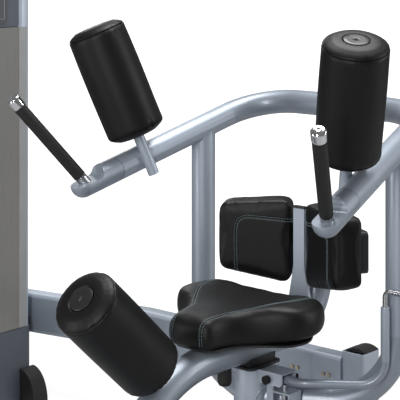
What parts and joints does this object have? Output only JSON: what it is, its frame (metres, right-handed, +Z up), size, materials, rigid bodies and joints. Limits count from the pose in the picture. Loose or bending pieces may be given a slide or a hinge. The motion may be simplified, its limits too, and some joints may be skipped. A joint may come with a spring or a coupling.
{
  "type": "rotary torso machine",
  "caption": "Seated torso-twist weight machine: a swinging yoke with roller pads and grips turns about a hub under the seat and lifts a guided stack by cable.",
  "frame": {"origin": "on the floor, on the vertical axis that the yoke turns about", "axes": "+Z up, -Y forward (the way the seated user faces), +X the user's left; the weight tower is on the -X side"},
  "size_m": [1.9145, 1.212, 1.524],
  "materials": {
    "frame_paint": "blue-grey metallic powder coat, satin gloss",
    "dark_paint": "dark blue-grey coat, satin",
    "bare_steel": "machined steel, lightly oiled",
    "chrome_trim": "polished chrome",
    "grip_rubber": "black rubber, matt with fine stipple",
    "vinyl": "black upholstery vinyl, fine grain, teal-grey stitching",
    "cast_black": "black coated casting",
    "black_fastener": "black oxide",
    "black_plastic": "moulded black plastic",
    "brass_bolt": "yellow zinc plate",
    "shroud_panel": "grey-beige smoked panel",
    "trim_strip": "pale warm grey strip",
    "placard_plate": "dark plain card in a holder",
    "plate_iron": "black enamelled iron",
    "pulley_nylon": "moulded nylon",
    "cable_jacket": "nylon jacket over wire rope"
  },
  "bodies": {
    "root": {"spindle": "bare_steel", "spindle_plate": "cast_black", "seat_arch_tube": "frame_paint", "seat_pan": "cast_black", "seat_cushion": "vinyl", "mast": "frame_paint", "mast_cap": "black_plastic", "back_bracket": "cast_black", "back_shells": "black_plastic", "back_pad_left": "vinyl", "back_pad_right": "vinyl", "thigh_post": "frame_paint", "arch_bumper": "grip_rubber", "base_spine": "frame_paint", "front_foot": "frame_paint", "floor_pads": "grip_rubber", "rear_post": "frame_paint", "rear_post_cap": "black_plastic", "link_beam": "frame_paint", "beam_splice": "bare_steel", "beam_bolts": "brass_bolt", "tower_frame": "frame_paint", "tower_base_cover": "dark_paint", "tower_shroud": "shroud_panel", "tower_back_shroud": "shroud_panel", "shroud_strip": "trim_strip", "tower_head": "dark_paint", "placard": "placard_plate", "tower_boots": "grip_rubber", "guide_rods": "chrome_trim", "stack_bumpers": "grip_rubber", "weight_plates": "plate_iron", "pulley_axles": "bare_steel", "cable": "cable_jacket"},
    "yoke": {"yoke_bar": "frame_paint", "upright_left": "frame_paint", "upright_right": "frame_paint", "arm_end_caps": "frame_paint", "grip_stubs": "bare_steel", "grip_sleeves": "grip_rubber", "grip_end_caps": "chrome_trim", "pad_posts": "frame_paint", "hub_sleeve": "frame_paint", "hub_bearings": "bare_steel", "clevis": "frame_paint", "clevis_bolt": "black_fastener"},
    "cam": {"index_cam": "cast_black"},
    "lever": {"lever_tube": "frame_paint", "lever_rod": "bare_steel"},
    "index_pin": {"lock_pin": "bare_steel"},
    "left_roller": {"arm_pad_left": "vinyl"},
    "right_roller": {"arm_pad_right": "vinyl"},
    "thigh_roller": {"thigh_pad": "vinyl"},
    "lifted_stack": {"lifted_plates": "plate_iron", "lift_stem": "bare_steel"},
    "weight_pin": {"selector_pin": "bare_steel"},
    "rear_sheave": {"rear_pulley": "pulley_nylon"},
    "corner_sheave": {"corner_pulley": "pulley_nylon"},
    "foot_sheave": {"foot_pulley": "pulley_nylon"},
    "top_sheave": {"top_pulley": "pulley_nylon"}
  },
  "joints": [
    {"name": "cam_swing", "type": "hinge", "parent": "root", "child": "cam", "pos_m": [0, 0, 0.22], "axis": [0, 0, 1], "range_deg": [0, 50]},
    {"name": "yoke_index", "type": "hinge", "parent": "cam", "child": "yoke", "pos_m": [0, 0, 0.32], "axis": [0, 0, 1], "range_deg": [-40, 40]},
    {"name": "index_lever", "type": "hinge", "parent": "yoke", "child": "lever", "pos_m": [0.0665, 0, 0.377], "axis": [0, -1, 0], "range_deg": [-12, 0]},
    {"name": "index_pin_lift", "type": "slide", "parent": "yoke", "child": "index_pin", "axis": [0, 0, 1], "range_m": [-0.008, 0]},
    {"name": "left_roller_spin", "type": "hinge", "parent": "yoke", "child": "left_roller", "pos_m": [0.328, -0.071, 0.949], "axis": [0.2663, -0.2663, 0.9264], "continuous": true},
    {"name": "right_roller_spin", "type": "hinge", "parent": "yoke", "child": "right_roller", "pos_m": [-0.328, -0.071, 0.949], "axis": [-0.2663, -0.2663, 0.9264], "continuous": true},
    {"name": "thigh_roller_spin", "type": "hinge", "parent": "root", "child": "thigh_roller", "pos_m": [0, -0.473, 0.565], "axis": [0, -0.7431, 0.6691], "continuous": true},
    {"name": "stack_lift", "type": "slide", "parent": "root", "child": "lifted_stack", "axis": [0, 0, 1], "range_m": [0, 0.16]},
    {"name": "pin_pull", "type": "slide", "parent": "lifted_stack", "child": "weight_pin", "axis": [1, 0, 0], "range_m": [0, 0.06]},
    {"name": "rear_sheave_spin", "type": "hinge", "parent": "root", "child": "rear_sheave", "pos_m": [-0.225, 0.4242, 0.22], "axis": [0, 0, 1], "range_deg": [-220, 220]},
    {"name": "corner_sheave_spin", "type": "hinge", "parent": "root", "child": "corner_sheave", "pos_m": [-1.236, 0.3426, 0.22], "axis": [0, 0, 1], "range_deg": [-240, 240]},
    {"name": "foot_sheave_spin", "type": "hinge", "parent": "root", "child": "foot_sheave", "pos_m": [-1.276, 0.246, 0.26], "axis": [1, 0, 0], "range_deg": [-240, 240]},
    {"name": "top_sheave_spin", "type": "hinge", "parent": "root", "child": "top_sheave", "pos_m": [-1.276, 0.136, 1.395], "axis": [1, 0, 0], "range_deg": [-150, 150]}
  ],
  "couplings": [
    {"joint": "index_pin_lift", "follows": "index_lever", "m_per_rad": 0.0305},
    {"joint": "stack_lift", "follows": "cam_swing", "m_per_rad": 0.18},
    {"joint": "rear_sheave_spin", "follows": "cam_swing", "ratio": -4},
    {"joint": "corner_sheave_spin", "follows": "cam_swing", "ratio": -4.5},
    {"joint": "foot_sheave_spin", "follows": "cam_swing", "ratio": 4.5},
    {"joint": "top_sheave_spin", "follows": "cam_swing", "ratio": -2.5714}
  ]
}
